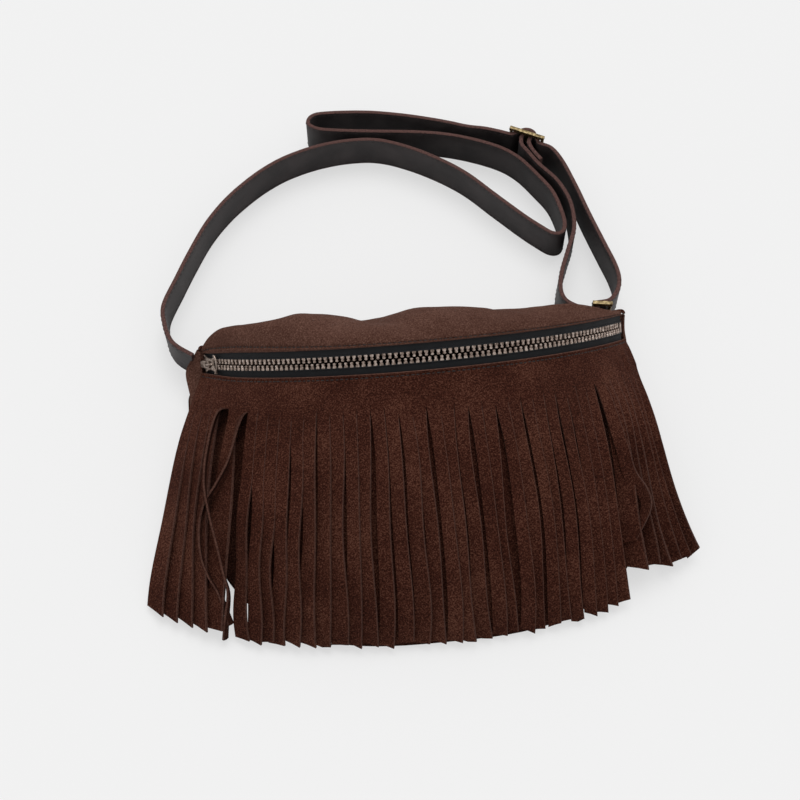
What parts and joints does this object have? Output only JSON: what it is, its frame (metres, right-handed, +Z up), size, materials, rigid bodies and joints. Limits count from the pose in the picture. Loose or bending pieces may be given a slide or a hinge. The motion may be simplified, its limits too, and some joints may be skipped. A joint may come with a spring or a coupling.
{
  "type": "fringed suede bag",
  "caption": "Half-moon suede hip bag lying on its back, with an arched metal zip, a long cut fringe and a folded adjustable leather strap.",
  "frame": {"origin": "on the flat underside of the back panel, below the middle of the zip's arc, on the table's plane", "axes": "+Z up from the table, through the front of the bag; +Y from the fringe's tips towards the bag's top edge and the strap; +X to the right as the front is seen"},
  "size_m": [0.4022, 0.4806, 0.1109],
  "materials": {
    "suede": "brushed brown suede with a short nap",
    "suede_lining_side": "brown suede",
    "strap_leather": "matt dark brown leather with raw edges",
    "zip_tape": "woven dark polyester tape",
    "zip_metal": "antique brass, tumbled",
    "aged_brass": "aged brass"
  },
  "bodies": {
    "bag": {"back_panel": "suede_lining_side", "front_panel": "suede", "top_panel": "suede", "left_end_panel": "suede", "right_end_panel": "suede", "fringe_panel": "suede", "zip_tape_lower": "zip_tape", "zip_tape_upper": "zip_tape", "zip_teeth_lower": "zip_metal", "zip_teeth_upper": "zip_metal", "zip_stop_left_lower": "zip_metal", "zip_stop_left_upper": "zip_metal", "zip_stop_right": "zip_metal", "strap": "strap_leather", "strap_buckle": "aged_brass", "strap_ring": "aged_brass", "ring_tab": "suede"},
    "slider": {"zip_slider": "zip_metal"},
    "pull": {"zip_pull": "zip_metal"}
  },
  "joints": [
    {"name": "zip_slide", "type": "hinge", "parent": "bag", "child": "slider", "pos_m": [0, 0.14925, -0.04695], "axis": [0, 0.7965, 0.6046], "range_deg": [0, 113.9]},
    {"name": "pull_swing", "type": "hinge", "parent": "slider", "child": "pull", "pos_m": [-0.16089, 0.0877, 0.03415], "axis": [0, 0.7965, 0.6046], "range_deg": [0, 170]}
  ]
}
